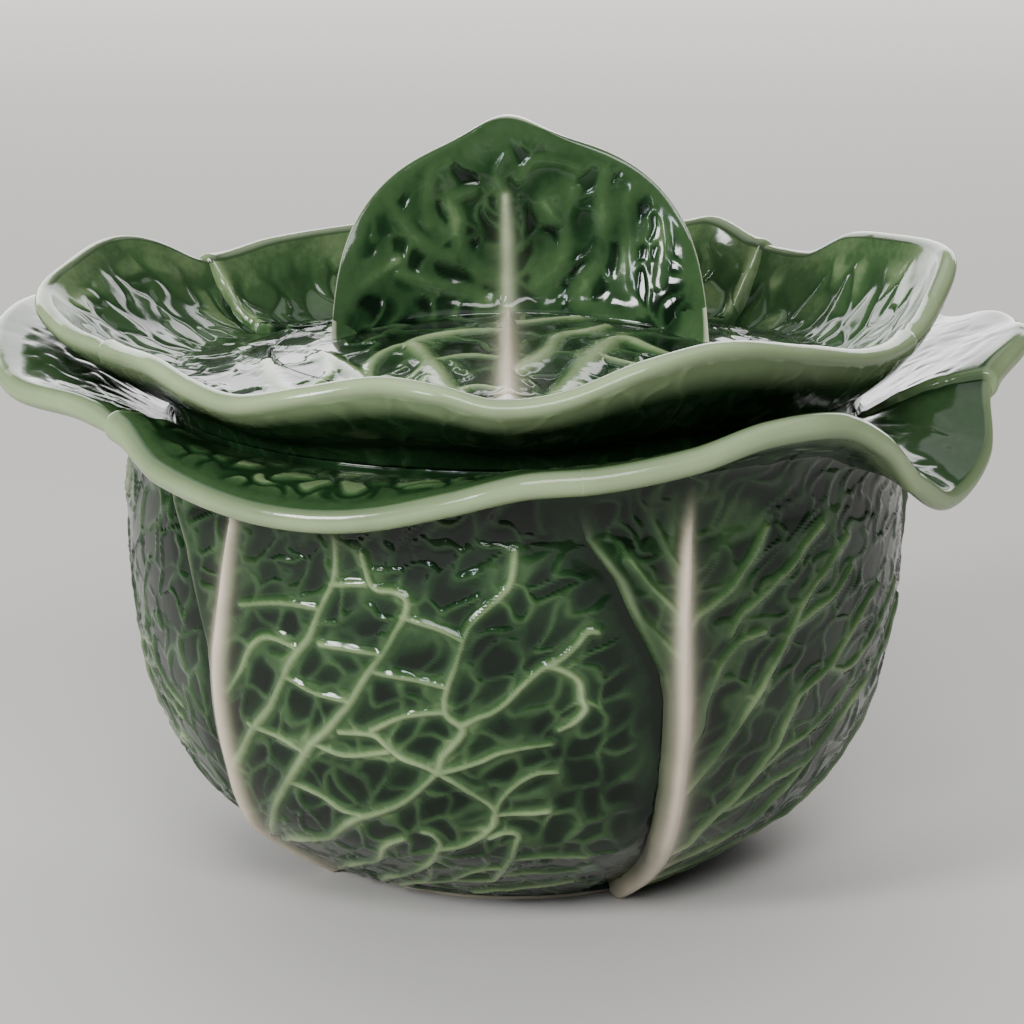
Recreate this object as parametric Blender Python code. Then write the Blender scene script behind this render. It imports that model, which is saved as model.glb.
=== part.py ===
"""Soup tureen in the form of cabbage leaves, with a lid that lifts off.

Metres, +Z up. The foot ring stands on Z = 0 around the Z axis and the front faces -Y.
An azimuth is in degrees from the front and grows towards +X.

The tureen is two fired bodies. The bowl is a round wall on a foot ring, clothed in five
leaves that fold out at the top as the brim. The lid is a domed round plate with a flange
under it, a dish of five leaves around it and one leaf that stands up as the handle. Pieces
that touch keep a joint of JOINT_GAP between their faces.
"""
import math

import bmesh
import bpy

MM = 0.001
TURN_STEPS = 60                # columns in a full turn of every round piece
JOINT_GAP = 0.3 * MM

# Bowl
LEAF_THICKNESS = 4.2 * MM      # of a leaf on the bowl's body
WALL_THICKNESS = 4.5 * MM
FLOOR_UNDERSIDE_Z = 5.5 * MM
FLOOR_TOP_Z = 10.5 * MM
FLOOR_RADIUS = 60.0 * MM        # of the flat part of the floor inside
MOUTH_RADIUS = 104.5 * MM
SEAT_RADIUS = 112.5 * MM       # outer edge of the ledge that carries the lid
SEAT_Z = 146.5 * MM
THROAT_DEPTH = 4.5 * MM        # from the ledge down to where the wall starts to widen outside
CREST_Z = 150.0 * MM           # top of the brim next to the seat
BRIM_LEVEL_Z = 159.0 * MM      # a rim at this height makes a brim that is level half-way out
BRIM_HALF_THICKNESS = 2.9 * MM
BOWL_ROLL_RADIUS = 4.0 * MM    # rolled edge of the brim
FOOT_RADIUS = 60.5 * MM
FOOT_WIDTH = 8.0 * MM

# Outer face of the leaves on the bowl's body, from the bottom edge to the neck: radius, height
BODY_PROFILE = [
    (68.5, 2.8), (75.5, 7.0), (90.0, 17.0), (106.5, 31.0), (117.0, 50.0),
    (124.8, 76.0), (127.6, 104.0), (127.5, 128.0), (126.2, 140.0),
]

# Centre line of the brim's rolled edge: azimuth, radius, height
BOWL_RIM = [
    (-54.5, 144.0, 157.0), (-47, 145.0, 149.0), (-35, 145.0, 143.5), (-25, 145.0, 142.0),
    (-16.5, 145.0, 144.0), (-7, 145.0, 149.5), (1, 145.0, 154.5), (10, 145.0, 156.0),
    (21, 145.0, 160.0), (30, 146.0, 165.5), (40, 148.0, 165.5), (47, 149.0, 157.0),
    (53, 149.0, 144.0), (62, 150.0, 134.0), (72, 153.5, 143.0), (80, 152.0, 160.0),
    (90, 165.0, 170.0), (95, 166.0, 170.5), (102, 165.0, 170.5), (110, 159.0, 165.0),
    (118, 159.0, 165.0), (130, 152.0, 160.0), (145, 146.0, 157.0), (160, 145.0, 163.0),
    (175, 145.5, 166.0), (190, 145.0, 158.0), (205, 146.0, 153.0), (220, 149.0, 158.0),
    (235, 155.0, 168.0), (245, 162.0, 174.0), (254, 167.0, 175.0), (263, 167.5, 175.0),
    (272, 167.5, 171.0), (285, 162.0, 163.0), (296, 148.0, 161.0),
]

# The leaves around the bowl: name, azimuth of the midrib at the top
BOWL_LEAVES = [
    ("front_left", -43.5), ("front_right", 24.0), ("right", 96.0), ("back", 168.0), ("left", 240.0),
]
# How far left of its own midrib a leaf reaches before the next one starts: height, degrees
LEFT_REACH = [(0.0, 3.0), (85.0, 3.2), (93.5, 4.0), (113.0, 9.0), (132.6, 14.5), (145.0, 16.0)]

# Lid
PLATE_RADIUS = 112.0 * MM
PLATE_THICKNESS = 4.5 * MM
DOME_TOP_Z = 175.5 * MM        # middle of the lid's domed floor
DOME_DROP = 14.0 * MM          # from there down to the trough inside the dish
TROUGH_RADIUS = 108.0 * MM
DISH_INNER_RADIUS = 80.0 * MM  # where the dish leaves meet the bare middle of the plate
DISH_ROOT_THICKNESS = 4.3 * MM
DISH_HALF_THICKNESS = 2.6 * MM
LID_ROLL_RADIUS = 3.5 * MM
FLANGE_INNER_RADIUS = 96.5 * MM
FLANGE_OUTER_RADIUS = 102.0 * MM
FLANGE_BOTTOM_Z = 131.0 * MM
FLANGE_TOP_Z = 151.3 * MM
SHOULDER_RADIUS = 111.5 * MM   # the flange's shoulder, which rests on the seat

# Centre line of the lid's rolled edge: azimuth, radius, height
LID_RIM = [
    (-93, 155.0, 183.0), (-80, 145.0, 177.0), (-69, 135.0, 175.0), (-56, 133.0, 175.5),
    (-45, 135.0, 172.0), (-36, 138.0, 171.0), (-27, 137.0, 175.3), (-17, 135.0, 179.7),
    (-9, 135.0, 178.0), (-2.5, 135.0, 174.3), (5.5, 135.0, 176.3), (15.6, 135.0, 184.4),
    (26.8, 133.0, 188.0), (40.5, 132.0, 183.6), (54.8, 130.0, 178.0), (69, 130.0, 177.7),
    (82, 137.5, 184.3), (93, 145.0, 196.0), (112, 134.5, 195.3), (119, 133.0, 193.0),
    (126, 128.0, 185.0), (137.5, 127.0, 186.4), (145, 126.0, 193.0), (151, 126.0, 191.0),
    (165, 125.5, 189.0), (180, 125.0, 186.0), (195, 126.0, 190.5), (210, 127.0, 189.0),
    (223, 128.0, 187.0), (236, 132.0, 183.0), (244, 142.0, 191.5), (249, 149.0, 193.0),
    (258, 152.0, 189.0),
]

# The leaves of the lid's dish: name, azimuth of the left and of the right seam
LID_LEAVES = [
    ("front", -70.0, 70.0), ("right", 70.0, 126.0), ("back_right", 126.0, 181.0),
    ("back_left", 181.0, 236.0), ("left", 236.0, 290.0),
]

# Handle leaf
HANDLE_X = 1.5 * MM            # its middle stands a little right of the axis
HANDLE_HALF_WIDTH = 61.5 * MM
HANDLE_HEIGHT = 58.5 * MM
HANDLE_THICKNESS = 5.5 * MM
HANDLE_Y = 30.0 * MM           # how far behind the axis its middle stands
HANDLE_ROUNDNESS = 2.3         # exponent of the outline
TIP_HEIGHT = 7.0 * MM
TIP_WIDTH = 14.0 * MM
TIP_X = -4.5 * MM              # from the handle's own middle
FOOT_SWEEP_LEFT = 34.0 * MM    # how far the foot's ends reach forward of its middle
FOOT_SWEEP_RIGHT = 40.0 * MM
TOP_SWEEP = 9.0 * MM           # the same at the top
HANDLE_ROWS = 12
HANDLE_COLUMNS = 14

LEAF_GREEN = (0.035, 0.095, 0.04)
DEEP_GREEN = (0.02, 0.06, 0.03)
RIM_GREEN = (0.16, 0.27, 0.13)
CREAM = (0.62, 0.60, 0.48)


def spline(points, position):
    """Point on a smooth line through the points; position 2.5 is halfway from point 2 to point 3."""
    last = len(points) - 1
    first = min(max(int(math.floor(position)), 0), last - 1)
    share = position - first
    before = points[max(first - 1, 0)]
    start = points[first]
    end = points[first + 1]
    after = points[min(first + 2, last)]
    result = []
    for a, b, c, d in zip(before, start, end, after):
        slope_start = (c - a) / 2
        slope_end = (d - b) / 2
        cubic = 2 * (b - c) + slope_start + slope_end
        square = 3 * (c - b) - 2 * slope_start - slope_end
        result.append(b + share * (slope_start + share * (square + share * cubic)))
    return tuple(result)


def around(rim, azimuth):
    """Radius and height of a rim at an azimuth, smooth all the way round."""
    azimuth = rim[0][0] + (azimuth - rim[0][0]) % 360
    turns = [(a - 360, r, z) for a, r, z in rim[-2:]]
    turns += rim
    turns += [(a + 360, r, z) for a, r, z in rim[:3]]
    first = 1
    while turns[first + 1][0] <= azimuth:
        first += 1
    share = (azimuth - turns[first][0]) / (turns[first + 1][0] - turns[first][0])
    ease = spline(turns[first - 1:first + 3], 1 + share)
    return ease[1] * MM, ease[2] * MM


def between(stations, position):
    """Straight-line value between stations of (position, value), level beyond the ends."""
    if position <= stations[0][0]:
        return stations[0][1]
    for (low, a), (high, b) in zip(stations, stations[1:]):
        if position <= high:
            return a + (b - a) * (position - low) / (high - low)
    return stations[-1][1]


def body_point(position, inset):
    """Point of the body's outer profile, moved in square to it by the inset."""
    radius, height = spline(BODY_PROFILE, position)
    step = 0.01
    ahead = spline(BODY_PROFILE, min(position + step, len(BODY_PROFILE) - 1))
    behind = spline(BODY_PROFILE, max(position - step, 0))
    run = ahead[0] - behind[0]
    rise = ahead[1] - behind[1]
    length = math.hypot(run, rise)
    return (radius * MM - inset * rise / length, height * MM + inset * run / length)


def bezier(start, control, end, share):
    """Point on a quadratic curve, and the unit vector along it."""
    point = [
        (1 - share) ** 2 * a + 2 * share * (1 - share) * b + share ** 2 * c
        for a, b, c in zip(start, control, end)
    ]
    way = [2 * (1 - share) * (b - a) + 2 * share * (c - b) for a, b, c in zip(start, control, end)]
    length = math.hypot(*way)
    return point, (way[0] / length, way[1] / length)


def thick_edge(start, control, end, shares, half_thickness, roll_radius):
    """Lower face, upper face and rounded tip of a sheet that follows a curve to a rolled edge."""
    lower = []
    upper = []
    for share in shares:
        point, way = bezier(start, control, end, share)
        swell = max(share - 0.55, 0.0) / 0.45
        half = half_thickness + (roll_radius - half_thickness) * swell ** 2
        lower.append((point[0] + half * way[1], point[1] - half * way[0]))
        upper.append((point[0] - half * way[1], point[1] + half * way[0]))
    tip = []
    for turn in (45, 90, 135):
        along = roll_radius * math.sin(math.radians(turn))
        up = -roll_radius * math.cos(math.radians(turn))
        tip.append((end[0] + along * way[0] - up * way[1], end[1] + along * way[1] + up * way[0]))
    return lower, upper, tip


def bowl_leaf_section(azimuth):
    """Outer face, inner face and tip of a bowl leaf, each face listed from the bottom up."""
    rim = around(BOWL_RIM, azimuth)
    steps = len(BODY_PROFILE) - 1
    droop = max(0.150 - rim[1], 0.0)
    neck = steps - 0.6 * droop / (12.0 * MM)
    positions = [0, 0.5] + list(range(1, steps + 1))
    outer = [body_point(p * neck / steps, 0.0) for p in positions]
    inner = [body_point(p, LEAF_THICKNESS) for p in positions]

    start = (118.5 * MM, CREST_Z - 3.0 * MM)
    lift = rim[1] - BRIM_LEVEL_Z
    control = (134.0 * MM, BRIM_LEVEL_Z + (0.6 if lift < 0 else 0.2) * lift)
    shares = (0.35, 0.5, 0.65, 0.8, 0.9, 1.0)
    lower, upper, tip = thick_edge(start, control, rim, shares, BRIM_HALF_THICKNESS, BOWL_ROLL_RADIUS)
    throat = outer[-1]
    bend = (throat[0] + 0.5 * MM, 0.4 * throat[1] + 0.6 * lower[0][1])
    outer += [bezier(throat, bend, lower[0], share)[0] for share in (0.3, 0.6, 0.8)]
    edge = SEAT_RADIUS + JOINT_GAP
    inner += [
        (edge, SEAT_Z - THROAT_DEPTH + JOINT_GAP),
        (edge, CREST_Z - 2.0 * MM),
        (edge + 2.0 * MM, CREST_Z),
    ]
    return outer + lower, inner + upper, tip


def dome(radius):
    """Height of the lid's floor at a radius."""
    return DOME_TOP_Z - DOME_DROP * (radius / TROUGH_RADIUS) ** 2


def lid_leaf_section(azimuth):
    """Lower face, upper face and tip of a dish leaf, each face listed from the middle out."""
    rim = around(LID_RIM, azimuth)
    start = (100.0 * MM, 159.5 * MM)
    control = (rim[0] - 0.35 * (rim[0] - start[0]) - 2.0 * MM, 157.0 * MM)
    shares = (0.4, 0.55, 0.7, 0.85, 1.0)
    lower, upper, tip = thick_edge(start, control, rim, shares, DISH_HALF_THICKNESS, LID_ROLL_RADIUS)
    under = (DISH_INNER_RADIUS, 96.0 * MM, PLATE_RADIUS + 0.5 * MM)
    below = [(radius, dome(radius) - DISH_ROOT_THICKNESS + JOINT_GAP) for radius in under]
    above = [(radius, dome(radius)) for radius in (DISH_INNER_RADIUS, 96.0 * MM, TROUGH_RADIUS)]
    return below + lower, above + upper, tip


def bowl_seam(number, height):
    """Azimuth where bowl leaf number meets the leaf on its left."""
    turns, index = divmod(number, len(BOWL_LEAVES))
    return BOWL_LEAVES[index][1] + 360 * turns - between(LEFT_REACH, height / MM)


def at(azimuth, radius, height):
    angle = math.radians(azimuth)
    return (radius * math.sin(angle), -radius * math.cos(angle), height)


def new_object(name, bm, colour, roughness=0.12):
    """Turn a bmesh into a smooth-shaded object with a glaze of its own."""
    bmesh.ops.recalc_face_normals(bm, faces=bm.faces)
    mesh = bpy.data.meshes.new(name)
    bm.to_mesh(mesh)
    bm.free()
    for face in mesh.polygons:
        face.use_smooth = True
    glaze = bpy.data.materials.new("glaze_" + name)
    glaze.use_nodes = True
    shader = glaze.node_tree.nodes["Principled BSDF"]
    shader.inputs["Base Color"].default_value = (*colour, 1.0)
    shader.inputs["Roughness"].default_value = roughness
    shader.inputs["Metallic"].default_value = 0.0
    shader.inputs["Coat Weight"].default_value = 1.0
    glaze.diffuse_color = (*colour, 1.0)
    mesh.materials.append(glaze)
    piece = bpy.data.objects.new(name, mesh)
    bpy.context.scene.collection.objects.link(piece)
    return piece


def turned(name, profile, colour):
    """Round piece: a closed outline of radius and height, or one that starts and ends on the axis."""
    bm = bmesh.new()
    verts = [bm.verts.new((0.0, -radius, height)) for radius, height in profile]
    edges = [bm.edges.new(pair) for pair in zip(verts, verts[1:])]
    if profile[0][0] > 0:
        edges.append(bm.edges.new((verts[-1], verts[0])))
    bmesh.ops.spin(
        bm, geom=verts + edges, cent=(0, 0, 0), axis=(0, 0, 1),
        angle=math.tau, steps=TURN_STEPS, use_merge=True,
    )
    bmesh.ops.remove_doubles(bm, verts=bm.verts, dist=0.01 * MM)
    return new_object(name, bm, colour)


def draped(name, columns, colour):
    """Leaf lofted over its columns; a column is its two matched faces and its tip, as points."""
    bm = bmesh.new()
    rings = []
    for face, back, tip in columns:
        ring = [bm.verts.new(p) for p in face + tip + back[::-1]]
        rings.append(ring)
    size = len(rings[0])
    for ring, following in zip(rings, rings[1:]):
        for i in range(size):
            j = (i + 1) % size
            bm.faces.new((ring[i], ring[j], following[j], following[i]))
    pairs = len(columns[0][0])
    for ring in (rings[0], rings[-1]):
        for i in range(pairs - 1):
            bm.faces.new((ring[i], ring[i + 1], ring[size - 2 - i], ring[size - 1 - i]))
        if columns[0][2]:
            bm.faces.new(ring[pairs - 1:size - pairs + 1])
    bmesh.ops.triangulate(bm, faces=bm.faces, quad_method="SHORT_EDGE")
    return new_object(name, bm, colour)


def leaf_columns(section, left_seam, right_seam, steps):
    """Columns of a leaf between two seams, which are azimuths as functions of the height."""
    columns = []
    for step in range(steps + 1):
        share = step / steps

        def azimuth_at(radius, height):
            trim = math.degrees(0.5 * JOINT_GAP / radius)
            left = left_seam(height) + trim
            right = right_seam(height) - trim
            return left + (right - left) * share

        top_azimuth = azimuth_at(0.14, 0.2)
        parts = []
        for line in section(top_azimuth):
            parts.append([at(azimuth_at(r, z), r, z) for r, z in line])
        columns.append(parts)
    return columns


def make_bowl_wall():
    steps = len(BODY_PROFILE) - 1
    outer = [body_point(p, LEAF_THICKNESS + JOINT_GAP) for p in range(steps + 1)]
    inner = [body_point(p, LEAF_THICKNESS + JOINT_GAP + WALL_THICKNESS) for p in range(steps + 1)]
    profile = [(0.0, FLOOR_UNDERSIDE_Z), (FLOOR_RADIUS + 5.0 * MM, FLOOR_UNDERSIDE_Z)]
    profile += outer
    profile += [
        (SEAT_RADIUS, SEAT_Z - THROAT_DEPTH),
        (SEAT_RADIUS, SEAT_Z),
        (MOUTH_RADIUS, SEAT_Z),
        (MOUTH_RADIUS, SEAT_Z - 2 * THROAT_DEPTH),
    ]
    profile += inner[-2:0:-1]
    profile += [(FLOOR_RADIUS, FLOOR_TOP_Z), (0.0, FLOOR_TOP_Z)]
    return turned("bowl_wall", profile, DEEP_GREEN)


def make_foot_ring():
    inside = FOOT_RADIUS - FOOT_WIDTH / 2
    outside = FOOT_RADIUS + FOOT_WIDTH / 2
    chamfer = 0.8 * MM
    top = FLOOR_UNDERSIDE_Z - JOINT_GAP
    profile = [
        (inside + chamfer, 0.0), (outside - chamfer, 0.0), (outside, chamfer), (outside, top),
        (inside, top), (inside, chamfer),
    ]
    return turned("foot_ring", profile, CREAM)


def make_bowl_leaves():
    steps = TURN_STEPS // len(BOWL_LEAVES)
    leaves = []
    for number, (name, midrib) in enumerate(BOWL_LEAVES):
        columns = leaf_columns(
            bowl_leaf_section,
            lambda height, n=number: bowl_seam(n, height),
            lambda height, n=number: bowl_seam(n + 1, height),
            steps,
        )
        leaves.append(draped("bowl_leaf_" + name, columns, LEAF_GREEN))
    return leaves


def make_lid_plate():
    """Domed plate with a rabbet that the dish leaves lie in and a flat seat for the flange."""
    edge = DISH_INNER_RADIUS - JOINT_GAP
    seat = FLANGE_TOP_Z + JOINT_GAP
    sunk = DISH_ROOT_THICKNESS + PLATE_THICKNESS
    profile = [(radius * MM, dome(radius * MM) - PLATE_THICKNESS) for radius in (0.0, 25.0, 50.0, 72.0)]
    profile += [(radius * MM, dome(radius * MM) - sunk) for radius in (80.0, 91.0)]
    profile += [(95.0 * MM, seat), (PLATE_RADIUS, seat)]
    profile += [(radius, dome(radius) - DISH_ROOT_THICKNESS) for radius in (PLATE_RADIUS, 96.0 * MM, edge)]
    profile += [(radius, dome(radius)) for radius in (edge, 60.0 * MM, 40.0 * MM, 20.0 * MM, 0.0)]
    return turned("lid_plate", profile, LEAF_GREEN)


def make_lid_flange():
    rest = SEAT_Z + JOINT_GAP
    profile = [
        (FLANGE_INNER_RADIUS, FLANGE_BOTTOM_Z),
        (FLANGE_OUTER_RADIUS - 1.5 * MM, FLANGE_BOTTOM_Z),
        (FLANGE_OUTER_RADIUS, FLANGE_BOTTOM_Z + 1.5 * MM),
        (FLANGE_OUTER_RADIUS, rest),
        (SHOULDER_RADIUS, rest),
        (SHOULDER_RADIUS, FLANGE_TOP_Z),
        (FLANGE_INNER_RADIUS, FLANGE_TOP_Z),
    ]
    return turned("lid_flange", profile, DEEP_GREEN)


def make_lid_leaves():
    leaves = []
    for name, left, right in LID_LEAVES:
        steps = max(round((right - left) * TURN_STEPS / 360), 9)
        columns = leaf_columns(lid_leaf_section, lambda height, a=left: a, lambda height, a=right: a, steps)
        leaves.append(draped("lid_leaf_" + name, columns, RIM_GREEN))
    return leaves


def make_handle_leaf():
    """Upright leaf, lofted from its foot on the dome to its tip over rings that narrow with the outline."""
    bottom = DOME_TOP_Z + JOINT_GAP
    columns = []
    for row in range(HANDLE_ROWS + 1):
        turn = math.radians(86.0 * row / HANDLE_ROWS)
        half_width = HANDLE_HALF_WIDTH * math.cos(turn) ** (2 / HANDLE_ROUNDNESS)
        rise = math.sin(turn) ** (2 / HANDLE_ROUNDNESS)
        half_thickness = HANDLE_THICKNESS / 2 * (1 - 0.25 * rise)
        front = []
        back = []
        for column in range(HANDLE_COLUMNS + 1):
            across = 2 * column / HANDLE_COLUMNS - 1
            edge = math.sqrt(1 - 0.8 * abs(across) ** 6)
            x = half_width * across
            spread = abs(x) / HANDLE_HALF_WIDTH
            foot_sweep = FOOT_SWEEP_LEFT if x < 0 else FOOT_SWEEP_RIGHT
            sweep = TOP_SWEEP + (foot_sweep - TOP_SWEEP) * (1 - rise) ** 3
            slope = 2.2 * sweep * spread ** 1.2 / HANDLE_HALF_WIDTH * math.copysign(1, x)
            length = math.hypot(1, slope)
            y = HANDLE_Y - sweep * spread ** 2.2
            z = bottom + HANDLE_HEIGHT * rise + TIP_HEIGHT * rise ** 3 * math.exp(-((x - TIP_X) / TIP_WIDTH) ** 2)
            reach = half_thickness * edge / length
            for face, side in ((front, -1), (back, 1)):
                px = HANDLE_X + x + side * reach * slope
                py = y + side * reach
                fall = DOME_TOP_Z - dome(math.hypot(px, py))
                face.append((px, py, z - fall * (1 - rise) ** 4))
        columns.append((front, back, []))
    return draped("handle_leaf", columns, LEAF_GREEN)


def main():
    for piece in list(bpy.data.objects):
        bpy.data.objects.remove(piece, do_unlink=True)
    bowl = bpy.data.objects.new("bowl", None)
    lid = bpy.data.objects.new("lid", None)
    lid.location = (0.0, 0.0, SEAT_Z)
    for empty in (bowl, lid):
        bpy.context.scene.collection.objects.link(empty)
    bpy.context.view_layer.update()

    bowl_pieces = [make_bowl_wall(), make_foot_ring()] + make_bowl_leaves()
    lid_pieces = [make_lid_plate(), make_lid_flange()] + make_lid_leaves() + [make_handle_leaf()]
    for empty, pieces in ((bowl, bowl_pieces), (lid, lid_pieces)):
        for piece in pieces:
            piece.parent = empty
            piece.matrix_parent_inverse = empty.matrix_world.inverted()


main()
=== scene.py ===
"""Looks of the cabbage-leaf soup tureen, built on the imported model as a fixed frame.

Shapes are worked out in millimetres, +Z up, and turned into metres at the end. An azimuth is in
degrees from the front (-Y) and grows towards +X. Every leaf is a closed sheet: a grid of points
lofted over its section, pushed along its own normal by a relief of veins and cells. The relief's
tone, its cream ribs and its pale edge are kept in vertex attributes that the glaze reads.
"""
import math

import bpy
import numpy as np
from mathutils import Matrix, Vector


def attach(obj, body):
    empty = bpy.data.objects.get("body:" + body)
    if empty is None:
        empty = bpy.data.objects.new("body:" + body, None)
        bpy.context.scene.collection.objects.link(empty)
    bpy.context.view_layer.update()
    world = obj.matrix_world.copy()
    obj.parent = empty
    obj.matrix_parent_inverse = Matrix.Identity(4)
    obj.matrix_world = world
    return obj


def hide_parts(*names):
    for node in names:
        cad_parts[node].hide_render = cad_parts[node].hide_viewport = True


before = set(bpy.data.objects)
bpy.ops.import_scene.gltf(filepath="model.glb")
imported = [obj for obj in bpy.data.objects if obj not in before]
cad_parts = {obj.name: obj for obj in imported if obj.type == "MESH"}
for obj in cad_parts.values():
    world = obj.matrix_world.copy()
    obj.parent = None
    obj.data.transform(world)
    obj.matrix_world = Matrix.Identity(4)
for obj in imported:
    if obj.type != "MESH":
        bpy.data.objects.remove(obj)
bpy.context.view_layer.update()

GRID = 0.8                     # mm between neighbouring points of a sheet
TIP_ROWS = 15                  # rows of points round a rolled edge
COVE_ROWS = 22                 # rows of points where a leaf turns out into its brim
CELL_SHAPES = {"front_left": (30, 12.5, 9.5), "front_right": (46, 17.0, 8.4)}  # slant in degrees, mm long, mm wide
CLOSE_COLUMNS = [0, 0.35, 0.8, 1.4, 2.1, 2.8]  # mm from a margin, where it is rounded
THINNEST_VEIN = 0.9            # mm, half width; thinner ones would turn jagged on the grid

# The shape that the CAD has, repeated in millimetres
BODY_PROFILE = [
    (68.5, 2.8), (75.5, 7.0), (90.0, 17.0), (106.5, 31.0), (117.0, 50.0),
    (124.8, 76.0), (127.6, 104.0), (127.5, 128.0), (126.2, 140.0),
]
BOWL_RIM = [
    (-54.5, 144.0, 157.0), (-47, 145.0, 149.0), (-35, 145.0, 143.5), (-25, 145.0, 142.0),
    (-16.5, 145.0, 144.0), (-7, 145.0, 149.5), (1, 145.0, 154.5), (10, 145.0, 156.0),
    (21, 145.0, 160.0), (30, 146.0, 165.5), (40, 148.0, 165.5), (47, 149.0, 157.0),
    (53, 149.0, 144.0), (62, 150.0, 134.0), (72, 153.5, 143.0), (80, 152.0, 160.0),
    (90, 165.0, 170.0), (95, 166.0, 170.5), (102, 165.0, 170.5), (110, 159.0, 165.0),
    (118, 159.0, 165.0), (130, 152.0, 160.0), (145, 146.0, 157.0), (160, 145.0, 163.0),
    (175, 145.5, 166.0), (190, 145.0, 158.0), (205, 146.0, 153.0), (220, 149.0, 158.0),
    (235, 155.0, 168.0), (245, 162.0, 174.0), (254, 167.0, 175.0), (263, 167.5, 175.0),
    (272, 167.5, 171.0), (285, 162.0, 163.0), (296, 148.0, 161.0),
]
LID_RIM = [
    (-93, 155.0, 183.0), (-80, 145.0, 177.0), (-69, 135.0, 175.0), (-56, 133.0, 175.5),
    (-45, 135.0, 172.0), (-36, 138.0, 171.0), (-27, 137.0, 175.3), (-17, 135.0, 179.7),
    (-9, 135.0, 178.0), (-2.5, 135.0, 174.3), (5.5, 135.0, 176.3), (15.6, 135.0, 184.4),
    (26.8, 133.0, 188.0), (40.5, 132.0, 183.6), (54.8, 130.0, 178.0), (69, 130.0, 177.7),
    (82, 134.5, 184.3), (93, 141.5, 196.0), (112, 134.5, 195.3), (119, 133.0, 193.0),
    (126, 128.0, 185.0), (137.5, 127.0, 186.4), (145, 126.0, 193.0), (151, 126.0, 191.0),
    (165, 125.5, 189.0), (180, 125.0, 186.0), (195, 126.0, 190.5), (210, 127.0, 189.0),
    (223, 128.0, 187.0), (236, 132.0, 183.0), (244, 142.0, 191.5), (249, 149.0, 193.0),
    (258, 152.0, 189.0),
]
SEAT_RADIUS = 112.8
SEAT_Z = 146.5
CREST_Z = 150.0
BRIM_LEVEL_Z = 159.0
DOME_TOP_Z = 175.5
DOME_DROP = 14.0
TROUGH_RADIUS = 108.0
DISH_ROOT_THICKNESS = 4.3
PLATE_THICKNESS = 4.5
FLANGE_TOP_Z = 151.3

# Midribs of the bowl's leaves: azimuth along the body, from the bottom edge up (mm along it)
MIDRIBS = {
    "front_left": [(0, -58), (25, -56), (38, -53), (50, -50), (70, -47.5), (90, -46.2), (110, -44.8),
                   (130, -43), (150, -41.5), (165, -40.5)],
    "front_right": [(0, 29), (20, 28.5), (30, 27.5), (40, 26.2), (50, 25.2), (60, 24.8), (80, 24),
                    (90, 23.7), (110, 23), (130, 22.8), (150, 23.2), (165, 23.8)],
    "right": [(0, 100), (40, 98.5), (80, 96), (120, 95), (165, 96)],
    "back": [(0, 163), (40, 165), (80, 167), (120, 168), (165, 168)],
    "left": [(0, 246), (40, 243), (80, 240), (120, 239), (165, 240)],
}
LEAVES = ["front_left", "front_right", "right", "back", "left"]
# How far left of its own midrib a leaf's margin lies: mm along the body, degrees
MARGIN = [(0, 3.2), (104, 2.6), (112, 3.2), (118, 4.5), (130, 7.2), (142, 9.8), (157, 15), (163, 16.5)]
TUCK = 2.6                     # degrees that a leaf runs on under its right neighbour's margin
FUSED = "front_right"          # the leaf whose margin is smoothed into its left neighbour on the brim

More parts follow.
